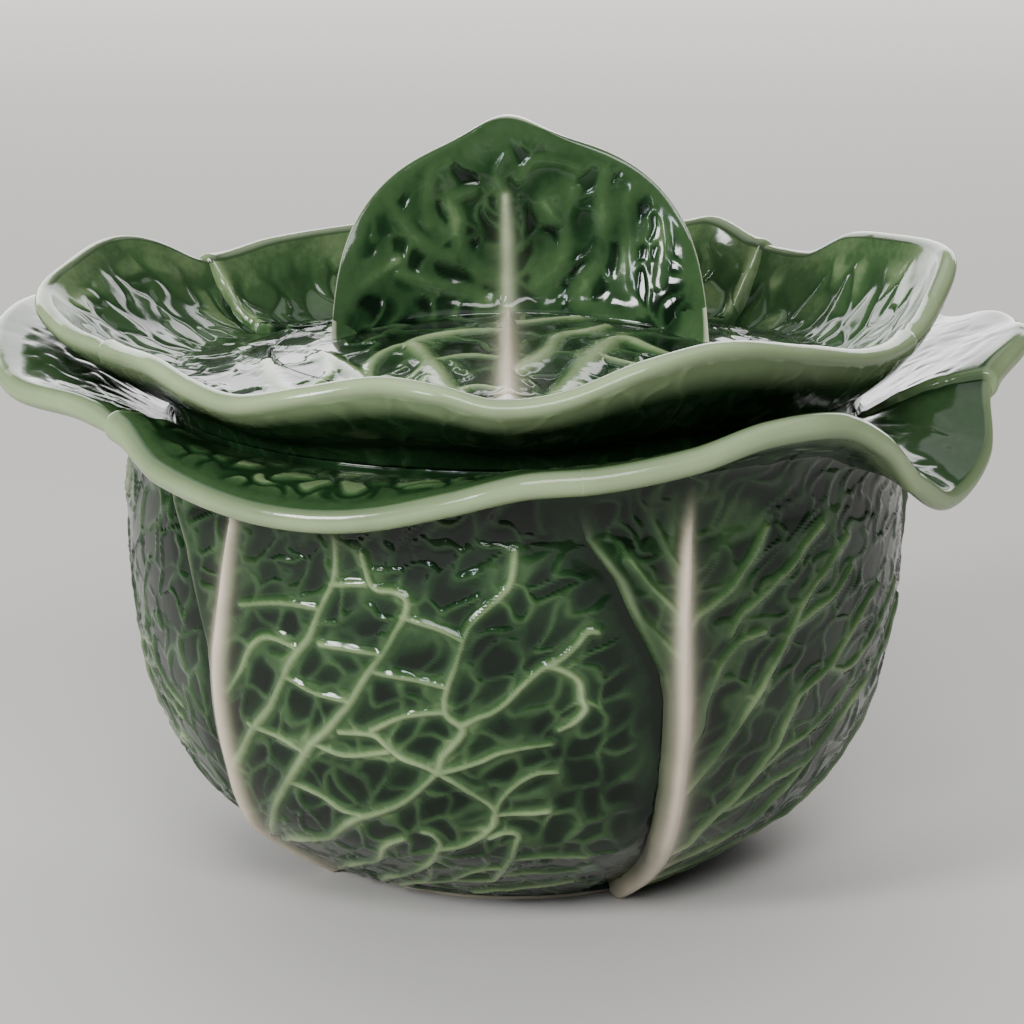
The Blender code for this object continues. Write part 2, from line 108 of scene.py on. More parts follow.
# Veins of the two front leaves, traced as azimuth and mm along the body, with their half width
FRONT_LEFT_VEINS = [
    (1.5, [(-46.5, 72), (-43, 80), (-40, 88), (-36, 97), (-34, 104), (-32, 112), (-30, 118), (-28.5, 122),
           (-27.3, 128), (-26, 134), (-24.8, 139), (-24.3, 145), (-24.5, 154)]),
    (1.1, [(-44, 98), (-41, 106), (-39.5, 112), (-37.5, 117.5), (-35, 119.5), (-31, 118)]),
    (1.7, [(-60, 28), (-50, 38), (-45, 47.5), (-43, 52), (-40, 60), (-36, 70), (-33, 78), (-30, 86), (-27, 92),
           (-25, 97), (-23, 102), (-21, 109), (-19.5, 114), (-17.5, 120), (-16, 126), (-14.7, 131),
           (-14.3, 136), (-16, 138.5), (-19, 139.5), (-20.5, 149)]),
    (1.8, [(-55, 27), (-50, 32), (-45, 37), (-40, 41), (-35, 45), (-32, 48), (-28, 55), (-25, 59.5),
           (-22, 62.5), (-19, 65.5), (-16.5, 69), (-14, 74), (-11, 81)]),
    (1.3, [(-11, 81), (-10, 87), (-8.5, 91), (-7, 96.5), (-9, 100.5), (-9.5, 104), (-9, 110), (-8, 116),
           (-7, 123), (-6, 129), (-4, 134), (-2, 138), (-0.5, 143), (0, 152)]),
    (1.1, [(-11, 81), (-8, 83), (-5, 85.5), (-2, 89), (2, 91), (5, 92)]),
    (1.2, [(-11, 81), (-8, 77), (-5, 72), (-3, 68), (-3, 62), (-4.5, 59)]),
    (1.1, [(-11, 81), (-13, 83), (-16, 85.5), (-18, 89), (-20, 92.5), (-25, 92)]),
    (1.0, [(-20, 94), (-16, 99), (-13, 101), (-9.5, 102)]),
    (1.1, [(-7, 98), (-5, 100.5), (-3, 102.5), (-1, 106), (1, 111), (4, 117), (6, 119), (8, 123),
           (9.5, 127), (11, 127)]),
    (1.0, [(4, 117), (6, 116), (8.5, 112), (9, 106), (9.5, 103), (8, 99), (6, 96.5)]),
    (0.9, [(-27, 120), (-18, 119)]),
    (0.9, [(-25, 139), (-20, 140)]),
    (0.9, [(-40, 128), (-33, 131), (-27, 131)]),
    (0.9, [(-15, 131), (-10, 128), (-7, 125)]),
    (1.0, [(-41, 89), (-35, 86), (-31, 82)]),
    (1.0, [(-33, 108), (-28, 104), (-23, 103)]),
    (0.9, [(-19, 113), (-14, 112), (-9, 110)]),
    (0.9, [(-30, 87), (-25, 84), (-18, 87)]),
    (0.9, [(-36, 70), (-31, 67), (-27, 62), (-24, 61)]),
    (1.5, [(-30, 5), (-25, 12), (-20, 17), (-15, 21), (-10, 24), (-5, 24.5), (-3.5, 28), (-2.5, 34),
           (-1.5, 40), (-0.5, 46), (0, 52), (0.5, 57), (-1.5, 58.5), (-4, 56)]),
    (1.4, [(-34, 8), (-28, 17), (-23, 23), (-20, 28), (-17, 34), (-15, 39), (-13.5, 44), (-12.5, 49)]),
    (1.0, [(-12.5, 49), (-12, 52), (-13, 56), (-14.5, 57)]),
    (1.1, [(-12.5, 49), (-9, 51), (-6, 55), (-4.5, 58), (-3.5, 61), (-3, 66), (-2, 72), (0, 77), (3, 81.5),
           (6, 82)]),
    (0.9, [(-3, 66), (0, 66), (5, 67)]),
    (1.4, [(-45, 12), (-38, 20), (-32, 27), (-27, 33), (-24, 40), (-22, 47), (-18, 53)]),
    (1.0, [(-20, 17), (-17, 25), (-16, 33)]),
    (1.0, [(-13, 22), (-9, 31), (-5, 36), (-2, 38)]),
    (1.0, [(-10, 8), (-3, 13), (5, 18), (12, 21)]),
    (1.0, [(-3, 30), (4, 33), (12, 33)]),
    (0.9, [(-1, 44), (6, 46), (12, 44)]),
]
FRONT_RIGHT_VEINS = [
    (1.3, [(22.8, 123), (24.5, 129), (27, 132), (30, 136), (32, 141), (34, 146), (36, 153)]),
    (1.5, [(24, 84), (26, 92), (26.5, 101), (28.5, 112), (30, 116), (32, 119.5), (36, 121)]),
    (1.2, [(30, 122), (32, 128), (36, 133), (38, 136.5), (40, 138.5), (44, 146), (47, 150)]),
    (1.5, [(24.2, 66), (29.5, 82), (33, 93), (36, 102), (37, 106), (38.5, 111), (40, 116), (41, 119.5),
           (43, 121.5), (46, 124), (50, 127), (54, 134)]),
    (1.2, [(41, 119), (43, 127), (48, 136), (53, 144)]),
    (1.7, [(25.6, 42), (30, 45), (31, 52), (33, 58), (36, 63), (38, 70), (40, 76), (41.5, 80), (42, 84),
           (43, 92), (44, 97), (46, 99), (50, 103), (53, 108), (58, 117), (63, 124)]),
    (1.2, [(50, 103), (55, 100), (60, 103), (67, 112), (73, 120)]),
    (1.7, [(27, 26), (33, 34), (40, 44), (46, 56), (51, 69), (57, 81), (64, 91), (72, 101), (78, 112)]),
    (1.6, [(29, 10), (38, 20), (48, 31), (57, 44), (65, 57), (73, 69), (82, 80)]),
    (1.4, [(33, 3), (46, 12), (60, 22), (73, 34), (85, 46)]),
    (1.1, [(33, 58), (38, 61), (44, 66), (51, 69)]),
    (1.0, [(38, 70), (44, 78), (50, 83), (57, 92)]),
]
# Veins over the lid's floor as seen from above: x, y in mm
FLOOR_VEINS = [
    (2.6, [(1.2, -136.3), (6.5, -108.9), (13.4, -80.7), (19.7, -58.6), (25.4, -38.5), (31.2, -21), (36.7, -17.5),
           (42.6, -26.1), (51.7, -37.5)]),
    (1.4, [(19.5, -69.3), (25.2, -77.1), (30.8, -87.4), (26.2, -100.4), (18.4, -121.4), (9.5, -133.6)]),
    (2.0, [(0.4, -60), (5.2, -50.6), (10.5, -36), (14.3, -18.5), (22.3, -10), (30, 2)]),
    (1.8, [(0.9, 2.4), (8.3, 7.7), (21.3, 18.6)]),
    (2.4, [(-9.6, -125.5), (-13.9, -104.7), (-19.3, -80.7), (-25, -55.3), (-30.9, -31.1), (-32.9, -23.6),
           (-26.8, -16), (-15.3, -12), (-5.4, -12)]),
    (2.0, [(-20, -118), (-25.9, -107), (-31.4, -93.9), (-37.7, -80.7), (-43.9, -68), (-48.8, -54), (-56, -38),
           (-62, -24)]),
    (1.2, [(-43.9, -72.5), (-45.9, -48.2), (-41.5, -31.1), (-34.6, -26.1), (-27.8, -45.8), (-32.5, -62.4)]),
    (1.2, [(-44.8, -72.5), (-54.2, -58), (-60, -78), (-47.3, -89.6)]),
    (1.2, [(-31.7, -85.1), (-27.4, -62), (-21, -76.2)]),
    (1.1, [(-20, -78), (-12, -72), (-4, -76)]),
    (1.1, [(-27, -48), (-16, -42), (-5, -46)]),
    (1.8, [(-60, -88), (-68, -66), (-76, -44), (-80, -20)]),
    (1.2, [(-68, -66), (-58, -50), (-60, -30)]),
    (2.0, [(44, -100), (46, -76), (52, -52), (56, -34)]),
    (1.2, [(31, -87), (39, -74), (46, -70)]),
    (1.2, [(25, -40), (34, -46), (48, -52)]),
    (2.0, [(70, -84), (74, -56), (78, -30)]),
]
# Veins of the handle leaf: x, z in mm
HANDLE_VEINS = [
    (1.6, [(8, 185), (12, 187), (15.5, 192), (17, 199), (17, 207), (20, 216)]),
    (1.2, [(9, 212), (13, 207), (17, 204)]),
    (1.6, [(20, 180), (22, 186), (26, 192), (29, 202), (28.5, 212), (30, 222)]),
    (1.5, [(36, 184), (37, 195), (37, 205), (37, 213), (40, 219)]),
    (1.2, [(46, 188), (49, 198), (49, 207)]),
    (1.6, [(-4, 186), (-12, 190), (-18, 198), (-19, 207), (-21, 213), (-14, 216)]),
    (1.4, [(-20, 194), (-26, 196), (-33, 202), (-39, 209), (-44, 217)]),
    (1.2, [(-52, 186), (-44, 190), (-38, 194)]),
    (1.2, [(-8, 180), (-20, 184), (-30, 187), (-38, 190)]),
    (1.3, [(-28, 205), (-29, 212), (-27, 223), (-22, 226)]),
    (1.1, [(-3, 213), (-6, 221), (-3, 228)]),
    (1.1, [(2, 220), (6, 225.5), (13, 226), (21, 223.5)]),
]
HANDLE_X = 1.5
HANDLE_HALF_WIDTH = 61.5
HANDLE_HEIGHT = 58.5
HANDLE_Y = 30.0
HANDLE_ROUNDNESS = 2.3


def between(low, high, value):
    """0 below low, 1 above high, smooth in between; low may be above high."""
    share = np.clip((value - low) / (high - low), 0, 1)
    return share * share * (3 - 2 * share)


def table(stations, value):
    return np.interp(value, [a for a, _ in stations], [b for _, b in stations])


def catmull(points, position):
    """Points on a smooth line through the points, at fractional positions along the list."""
    points = np.asarray(points, float)
    last = len(points) - 1
    first = np.clip(np.floor(position).astype(int), 0, last - 1)
    share = (position - first)[..., None]
    before = points[np.maximum(first - 1, 0)]
    start = points[first]
    end = points[first + 1]
    after = points[np.minimum(first + 2, last)]
    slope_start = (end - before) / 2
    slope_end = (after - start) / 2
    square = 3 * (end - start) - 2 * slope_start - slope_end
    cubic = 2 * (start - end) + slope_start + slope_end
    return start + share * (slope_start + share * (square + share * cubic))


def smooth_line(points, parts):
    """The smooth line through the points, with that many steps between neighbours."""
    return catmull(points, np.linspace(0, len(points) - 1, (len(points) - 1) * parts + 1))


def arc_length(grid):
    """How far each point of a sheet is along its column, in mm from the first row."""
    steps = np.linalg.norm(np.diff(grid, axis=1), axis=-1)
    return np.concatenate([np.zeros((len(grid), 1)), np.cumsum(steps, axis=1)], 1)


def rim_at(rim, azimuth):
    """Radius and height of a rim at every azimuth."""
    points = np.array(rim, float)
    points = np.vstack([points[-2:] - [360, 0, 0], points, points[:3] + [360, 0, 0]])
    turned = points[2, 0] + (azimuth - points[2, 0]) % 360
    first = np.clip(np.searchsorted(points[:, 0], turned, side="right") - 1, 2, len(points) - 4)
    share = (turned - points[first, 0]) / (points[first + 1, 0] - points[first, 0])
    both = catmull(points[:, 1:], first + share)
    return both[..., 0], both[..., 1]


BODY = catmull(BODY_PROFILE, np.linspace(0, len(BODY_PROFILE) - 1, 1601))
ALONG = np.concatenate([[0], np.cumsum(np.hypot(*np.diff(BODY, axis=0).T))])
BODY_LENGTH = ALONG[-1]


def body_at(along):
    """Radius and height of the body's outer profile at a length along it."""
    over = np.maximum(along - BODY_LENGTH, 0)
    return np.interp(along, ALONG, BODY[:, 0]), np.interp(along, ALONG, BODY[:, 1]) + over


def dome(radius):
    """Height of the lid's domed floor at a radius."""
    return DOME_TOP_Z - DOME_DROP * (np.asarray(radius) / TROUGH_RADIUS) ** 2


def at(azimuth, radius, height):
    angle = np.radians(azimuth)
    return np.stack([radius * np.sin(angle), -radius * np.cos(angle), height + 0 * angle], -1)


def waves(x, y, seed, length):
    """Smooth random swell around 0, about 0.7 high, from a few plane waves of about that length."""
    rng = np.random.default_rng(seed)
    total = 0 * x
    for _ in range(7):
        turn, phase = rng.uniform(0, math.tau, 2)
        k = math.tau / (length * rng.uniform(0.7, 1.5))
        total = total + np.sin(k * (x * math.cos(turn) + y * math.sin(turn)) + phase)
    return total / math.sqrt(7)


def bezier(start, control, end, share):
    """Points of a quadratic curve for every column and share, and the unit vectors along it."""
    a, b, c = [np.stack(np.broadcast_arrays(*p), -1)[..., None, :] for p in (start, control, end)]
    t = np.asarray(share)[:, None]
    point = (1 - t) ** 2 * a + 2 * t * (1 - t) * b + t ** 2 * c
    way = 2 * (1 - t) * (b - a) + 2 * t * (c - b)
    return point, way / np.linalg.norm(way, axis=-1, keepdims=True)


def thick_edge(start, control, end, inner_share, half, roll, rows):
    """Lower face, round tip and upper face of a sheet that follows a curve out to a rolled edge."""
    share = np.linspace(inner_share, 1, rows)
    point, way = bezier(start, control, end, share)
    swell = np.maximum(share - 0.55, 0) / 0.45
    thick = (half + (roll - half) * swell ** 2)[:, None]
    side = np.stack([-way[..., 1], way[..., 0]], -1)
    turn = np.radians(np.linspace(0, 180, TIP_ROWS + 2)[1:-1])[:, None]
    tip = point[:, -1:] + roll * (np.sin(turn) * way[:, -1:] - np.cos(turn) * side[:, -1:])
    return point - thick * side, tip, point + thick * side, share


def vein_field(points, veins):
    """Ridge height, pale core and clear distance at every point; a vein is points, widths, height."""
    starts = np.concatenate([v[0][:-1] for v in veins])
    ends = np.concatenate([v[0][1:] for v in veins])
    wide = np.concatenate([v[1][:-1] for v in veins])
    high = np.concatenate([np.full(len(v[0]) - 1, v[2]) for v in veins])
    flat = points.reshape(-1, points.shape[-1])
    height = np.zeros(len(flat))
    core = np.zeros(len(flat))
    clear = np.full(len(flat), 30.0)
    for block in np.array_split(np.arange(len(flat)), max(1, len(flat) // 5000)):
        p = flat[block]
        near = ((np.maximum(starts, ends) > p.min(0) - 12) & (np.minimum(starts, ends) < p.max(0) + 12)).all(1)
        if not near.any():
            continue
        a = starts[near]
        v = ends[near] - a
        square = (v * v).sum(1) + 1e-9
        dot = p @ v.T - (a * v).sum(1)
        t = np.clip(dot / square, 0, 1)
        d = (p * p).sum(1)[:, None] + (a * a).sum(1) - 2 * p @ a.T - 2 * t * dot + t * t * square
        d = np.sqrt(np.maximum(d, 0))
        w = wide[near]
        ridge = high[near] / (1 + (d / w) ** 2.3)
        height[block] = ridge.max(1)
        core[block] = (1 / (1 + (d / (0.95 * w)) ** 3)).max(1)
        clear[block] = np.minimum((d - w).min(1), 30)
    shape = points.shape[:-1]
    return height.reshape(shape), core.reshape(shape), np.maximum(clear, 0).reshape(shape)


def cells(x, y, seed, long, short, lean):
    """Distance to the nearest cell wall, nearness to the cell's middle, the wall's strength and the
    cell's own random number.

    The cells are a grid of shaken seeds; lean gives the direction of their long side in degrees
    from +Y at each seed.
    """
    rng = np.random.default_rng(seed)
    x, y = x + 2.2 * waves(x, y, seed + 1, 16), y + 2.2 * waves(x, y, seed + 2, 16)
    step = math.sqrt(long * short) * 0.95
    gx, gy = np.meshgrid(np.arange(x.min() - 2 * step, x.max() + 2 * step, step),
                         np.arange(y.min() - 2 * step, y.max() + 2 * step, step))
    gx[::2] += step / 2
    gx = (gx + rng.uniform(-0.36, 0.36, gx.shape) * step).ravel()
    gy = (gy + rng.uniform(-0.36, 0.36, gy.shape) * step).ravel()
    own = rng.random(len(gx))
    turn = np.radians(lean(gx, gy))
    sin, cos = np.sin(turn), np.cos(turn)
    fx, fy = x.ravel(), y.ravel()
    gap = np.zeros(len(fx))
    wall = np.zeros(len(fx))
    number = np.zeros(len(fx))
    middle = np.zeros(len(fx))
    for block in np.array_split(np.arange(len(fx)), max(1, len(fx) // 6000)):
        dx = fx[block, None] - gx
        dy = fy[block, None] - gy
        u = (dx * sin + dy * cos) / long
        v = (dx * cos - dy * sin) / short
        d = np.sqrt(u * u + v * v) + 1e-6
        row = np.arange(len(block))
        first = d.argmin(1)
        d1 = d[row, first]
        d[row, first] = 9e9
        second = d.argmin(1)
        d2 = d[row, second]

        def slope(k, dk):
            uu = u[row, k] / long / dk
            vv = v[row, k] / short / dk
            return uu * sin[k] + vv * cos[k], uu * cos[k] - vv * sin[k]

        ax, ay = slope(first, d1)
        bx, by = slope(second, d2)
        gap[block] = (d2 - d1) / (np.hypot(bx - ax, by - ay) + 1e-6)
        pair = np.minimum(first, second) * 12.9898 + np.maximum(first, second) * 78.233
        wall[block] = np.abs(np.sin(pair) * 43758.5453) % 1
        number[block] = own[first]
        middle[block] = between(0.70, 0.26, d1) * between(0.1, 2.0, gap[block])
    return [values.reshape(x.shape) for values in (gap, middle, wall, number)]


def normals(grid, wrap_rows, wrap_columns):
    """Unit normal at every point of a grid of columns and rows."""
    tall = np.concatenate([grid[:, -1:], grid, grid[:, :1]], 1) if wrap_rows else grid
    wide = np.concatenate([grid[-1:], grid, grid[:1]], 0) if wrap_columns else grid
    down = np.gradient(tall, axis=1)
    across = np.gradient(wide, axis=0)
    down = down[:, 1:-1] if wrap_rows else down
    across = across[1:-1] if wrap_columns else across
    normal = np.cross(across, down)
    return normal / (np.linalg.norm(normal, axis=-1, keepdims=True) + 1e-12)


def volume(grid):
    """Signed volume of a grid whose rows close into rings, taken from its middle."""
    a = grid - grid.mean((0, 1))
    b = np.roll(a, -1, axis=1)
    return (np.cross(a[:-1], b[:-1]) * b[1:]).sum() + (np.cross(a[:-1], b[1:]) * a[1:]).sum()


def piece(name, body, grid, tone, rib, edge, material, wrap_columns=False, push=None):
    """Mesh object of a grid whose rows close into rings; push moves each point out along its normal."""
    sign = 1.0 if volume(np.concatenate([grid, grid[:1]]) if wrap_columns else grid) > 0 else -1.0
    if push is not None:
        out = normals(grid, True, wrap_columns) * -sign
        grid = grid + out * push[..., None]
    columns, rows = grid.shape[:2]
    mesh = bpy.data.meshes.new(name)
    index = np.arange(columns * rows).reshape(columns, rows)
    here = index if wrap_columns else index[:-1]
    there = np.roll(index, -1, axis=0) if wrap_columns else index[1:]
    quads = np.stack([here, np.roll(here, -1, axis=1), np.roll(there, -1, axis=1), there], -1).reshape(-1, 4)
    if sign < 0:
        quads = quads[:, ::-1]
    faces = quads.tolist()
    if not wrap_columns:
        ends = [index[0].tolist()[::-1], index[-1].tolist()]
        faces += [ring if sign > 0 else ring[::-1] for ring in ends]
    mesh.from_pydata((grid.reshape(-1, 3) / 1000).tolist(), [], faces)
    smooth = np.ones(len(mesh.polygons), bool)
    if not wrap_columns:
        smooth[-2:] = False
    mesh.polygons.foreach_set("use_smooth", smooth)
    for label, values in (("tone", tone), ("rib", rib), ("edge", edge)):
        layer = mesh.attributes.new(label, "FLOAT", "POINT")
        values = np.clip(np.broadcast_to(values, grid.shape[:2]), 0, 1)
        layer.data.foreach_set("value", values.astype(np.float32).ravel())
    mesh.update()
    mesh.materials.append(material)
    item = bpy.data.objects.new("look_" + name, mesh)
    bpy.context.scene.collection.objects.link(item)
    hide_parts(name)
    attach(item, body)
    return item


def glaze(name, ramp, rib, edge, seed):
    """Clear coloured glaze: thin and pale on what stands proud, deep where it pools; the tone it reads also carries
    painted shade under the lid and in creases between leaves.
    """
    material = bpy.data.materials.new("glaze_" + name)
    material.use_nodes = True
    nodes = material.node_tree.nodes
    links = material.node_tree.links
    shader = nodes["Principled BSDF"]

    def node(kind, **values):
        made = nodes.new(kind)
        for key, value in values.items():
            setattr(made, key, value)
        return made

    place = node("ShaderNodeTexCoord")
    shift = node("ShaderNodeMapping")
    shift.inputs["Location"].default_value = (seed * 1.3, seed * 0.7, seed * 0.4)
    links.new(place.outputs["Object"], shift.inputs["Vector"])

    def noise(scale, detail, distortion=0.0):
        made = node("ShaderNodeTexNoise")
        made.inputs["Scale"].default_value = scale
        made.inputs["Detail"].default_value = detail
        made.inputs["Distortion"].default_value = distortion
        links.new(shift.outputs[0], made.inputs["Vector"])
        return made.outputs["Fac"]

    def maths(kind, first, second, third=None):
        made = node("ShaderNodeMath", operation=kind)
        for slot_number, value in enumerate((first, second, third)):
            if value is None:
                continue
            if isinstance(value, (int, float)):
                made.inputs[slot_number].default_value = value
            else:
                links.new(value, made.inputs[slot_number])
        return made.outputs[0]

    def attribute(label):
        return node("ShaderNodeAttribute", attribute_name=label).outputs["Fac"]

    cloud = maths("MULTIPLY_ADD", noise(26, 3, 0.6), 0.26, -0.13)
    speck = maths("MULTIPLY_ADD", noise(420, 2), 0.10, -0.05)
    tone = maths("ADD", maths("ADD", attribute("tone"), cloud), speck)
    colour = node("ShaderNodeValToRGB")
    stops = colour.color_ramp.elements
    while len(stops) < len(ramp):
        stops.new(0.5)
    for stop, (position, value) in zip(stops, ramp):
        stop.position = position
        stop.color = (*value, 1)
    links.new(tone, colour.inputs["Fac"])

    def blend(amount, below, above):
        made = node("ShaderNodeMix", data_type="RGBA")
        links.new(amount, made.inputs[0])
        links.new(below, made.inputs[6])
        made.inputs[7].default_value = (*above, 1)
        return made.outputs[2]

    pale = blend(maths("MULTIPLY", attribute("edge"), maths("MULTIPLY_ADD", noise(38, 3), 0.5, 0.62)),
                 colour.outputs["Color"], edge)
    full = blend(maths("MULTIPLY", attribute("rib"), maths("MULTIPLY_ADD", noise(90, 3), 0.35, 0.72)), pale, rib)
    links.new(full, shader.inputs["Base Color"])
    links.new(maths("MULTIPLY_ADD", noise(60, 2), 0.10, 0.07), shader.inputs["Roughness"])
    shader.inputs["IOR"].default_value = 1.5
    shader.inputs["Specular IOR Level"].default_value = 0.32
    bump = node("ShaderNodeBump")
    bump.inputs["Strength"].default_value = 0.25
    bump.inputs["Distance"].default_value = 0.0004
    links.new(noise(150, 2), bump.inputs["Height"])
    links.new(bump.outputs["Normal"], shader.inputs["Normal"])
    return material


GREEN = [
    (0.0, (0.002, 0.007, 0.0025)), (0.22, (0.010, 0.030, 0.010)), (0.45, (0.040, 0.083, 0.030)),
    (0.70, (0.20, 0.270, 0.130)), (1.0, (0.50, 0.55, 0.36)),
]
CREAM = (0.66, 0.56, 0.44)
PALE_GREEN = (0.29, 0.37, 0.20)


def bowl_leaf(number):
    """One leaf of the bowl, from its bottom edge up the body, out as the brim and back inside."""
    name = LEAVES[number]
    following = LEAVES[(number + 1) % len(LEAVES)]
    turn = 360 if number == len(LEAVES) - 1 else 0

    def mid(along):
        return table(MIDRIBS[name], along)

    def left(along):
        return mid(along) - table(MARGIN, along)

    def tuck(along):
        return TUCK * (1 - 0.88 * between(150, 160, along) * (following == FUSED))

    def right(along):
        return table(MIDRIBS[following], along) + turn - table(MARGIN, along) + tuck(along)

    width = math.radians(right(120.0) - left(120.0)) * 127
    inside = np.arange(3.6, width, GRID)
    share = np.concatenate([CLOSE_COLUMNS, inside, [width]]) / width
    top = left(BODY_LENGTH + 5) + (right(BODY_LENGTH + 5) - left(BODY_LENGTH + 5)) * share
    rim_r, rim_z = rim_at(BOWL_RIM, top)

    droop = np.maximum(150 - rim_z, 0)
    neck = BODY_LENGTH - 6 - 0.6 * droop
    up = np.linspace(0, 1, int(BODY_LENGTH / GRID))
    along = neck[:, None] * up
    outer_r, outer_z = body_at(along)
    lift = rim_z - BRIM_LEVEL_Z
    control = (134.0, BRIM_LEVEL_Z + np.where(lift < 0, 0.6, 0.2) * lift)
    lower, tip, upper, way = thick_edge((118.5, CREST_Z - 3), control, (rim_r, rim_z), 0.35, 2.9, 4.0, 34)
    throat = (outer_r[:, -1], outer_z[:, -1])
    rise = (lower[:, 2, 1] - lower[:, 0, 1]) / (lower[:, 2, 0] - lower[:, 0, 0])
    bend_z = np.clip(lower[:, 0, 1] - rise * (lower[:, 0, 0] - throat[0] - 0.2), throat[1] + 3, lower[:, 0, 1] + 1)
    cove_way = np.linspace(0, 1, COVE_ROWS + 2)[1:-1]
    cove, _ = bezier(throat, (throat[0] + 0.2, bend_z), (lower[:, 0, 0], lower[:, 0, 1]), cove_way)
    upper = upper[:, ::-1]
    crest = np.array([(SEAT_RADIUS + 2.6, CREST_Z), (SEAT_RADIUS + 1.0, CREST_Z - 0.3), (SEAT_RADIUS, CREST_Z - 1.2),
                      (SEAT_RADIUS, SEAT_Z - 2), (SEAT_RADIUS, SEAT_Z - 4.2)])
    to_crest = np.linspace(0, 1, 6)[1:-1, None]
    crest_run = upper[:, -1:] * (1 - to_crest) + crest[0] * to_crest
    crest = np.concatenate([crest_run, np.broadcast_to(crest, (len(top), *crest.shape))], 1)
    back_along = np.linspace(BODY_LENGTH, 0, 26)
    back_r, back_z = body_at(back_along)
    back_r = np.broadcast_to(back_r - np.interp(back_along, [0, 30, 60], [1.0, 3.4, 4.2]), (len(top), 26))
    back_z = np.broadcast_to(back_z + np.interp(back_along, [0, 30, 60], [4.2, 2.6, 0.4]), (len(top), 26))

    brim = np.concatenate([cove, lower, tip, upper, crest], 1)
    radius = np.concatenate([outer_r, brim[..., 0], back_r], 1)
    height = np.concatenate([outer_z, brim[..., 1], back_z], 1)
    body_rows = outer_r.shape[1]
    cove_end = body_rows + cove.shape[1]
    lower_end = cove_end + lower.shape[1]
    tip_end = lower_end + tip.shape[1]
    upper_end = tip_end + upper.shape[1]
    crest_end = upper_end + crest.shape[1]
    rows = radius.shape[1]

    travel = np.full(radius.shape, BODY_LENGTH + 5)
    travel[:, :body_rows] = along
    travel[:, body_rows:cove_end] = neck[:, None] + (BODY_LENGTH + 5 - neck[:, None]) * cove_way
    travel[:, crest_end:] = back_along
    azimuth = left(travel) + (right(travel) - left(travel)) * share[:, None]
    grid = at(azimuth, radius, height)

    # How far each point is from the left and right margins, in mm along the surface
    reach = np.radians(right(travel) - left(travel)) * radius
    from_left = share[:, None] * reach
    from_right = (1 - share[:, None]) * reach
    tucked = np.radians(tuck(travel)) * radius

    # Veins and cells on the outer face
    section = np.zeros(rows)
    section[:body_rows] = 1
    section[body_rows:lower_end] = np.interp(np.arange(lower_end - body_rows), [0, 22, 44, 55], [1, 0.8, 0.25, 0])
    surface = arc_length(grid)
    outer = slice(0, lower_end)
    x = np.radians(azimuth[:, outer] - mid(travel[:, outer])) * radius[:, outer]
    y = surface[:, outer]
    veins = []
    rib_line = np.linspace(0, 168, 60)
    rib_r, rib_z = body_at(rib_line)
    rib_wide = np.interp(rib_line, [0, 30, 50, 70, 90, 110, 130, 140, 150, 168],
                         [4.4, 4.2, 3.6, 3.1, 3.1, 3.0, 2.5, 2.2, 1.6, 1.2]) * (0.72 if name == "front_left" else 0.86)
    midrib = (at(mid(rib_line), rib_r, rib_z), rib_wide, 2.5)

    def lay(line, half, high):
        fine = smooth_line(line, 4)
        r, z = body_at(fine[:, 1])
        wide = np.maximum(half * np.linspace(1.0, 0.5, len(fine)), THINNEST_VEIN)
        veins.append((at(fine[:, 0], r, z), wide, high))

    def grow(start, heading, length, bend_rate, half, high, rng, forks):
        """A vein that starts at (mm right of the midrib, mm up), wanders and forks."""
        spot = np.array(start, float)
        line = [spot.copy()]
        for _ in range(int(length / 6)):
            heading += bend_rate * 6 + rng.normal(0, 5)
            spot = spot + 6 * np.array([math.sin(math.radians(heading)), math.cos(math.radians(heading))])
            line.append(spot.copy())
            if forks and rng.random() < 0.34:
                side = rng.choice([-1, 1])
                grow(spot, heading + side * rng.uniform(35, 55), rng.uniform(14, 30), -side * 0.6,
                     half * 0.7, high * 0.8, rng, forks - 1)
        line = np.array(line)
        r, _ = body_at(line[:, 1])
        lay(np.column_stack([mid(line[:, 1]) + np.degrees(line[:, 0] / r), line[:, 1]]), half, high)

    if name == "front_left":
        for half, line in FRONT_LEFT_VEINS:
            lay(line, half, 0.9 + 0.4 * half)
    else:
        rng = np.random.default_rng(40 + number)
        if name == "front_right":
            for half, line in FRONT_RIGHT_VEINS:
                lay(line, half, 0.9 + 0.4 * half)
        else:
            for low_start in np.arange(6, 150, 15):
                grow((2.0, low_start + rng.uniform(-3, 3)), 48 - 0.12 * low_start, 150 - 0.5 * low_start, -0.14,
                     1.6, 1.5, rng, 2)
        for low_start in np.arange(118, 150, 13):
            grow((-2.0, low_start), -42, 26, 0.5, 1.1, 1.2, rng, 1)

    base = at(azimuth[:, outer], radius[:, outer], height[:, outer])
    main_high, main_core, main_clear = vein_field(base, veins)
    rib_high, rib_core, rib_clear = vein_field(base, [midrib])
    slant, long, short = CELL_SHAPES.get(name, (34, 15.0, 9.0))

    def lean(px, py):
        return np.where(px > 0, slant + 12 * waves(px, py, 3, 60), -slant)

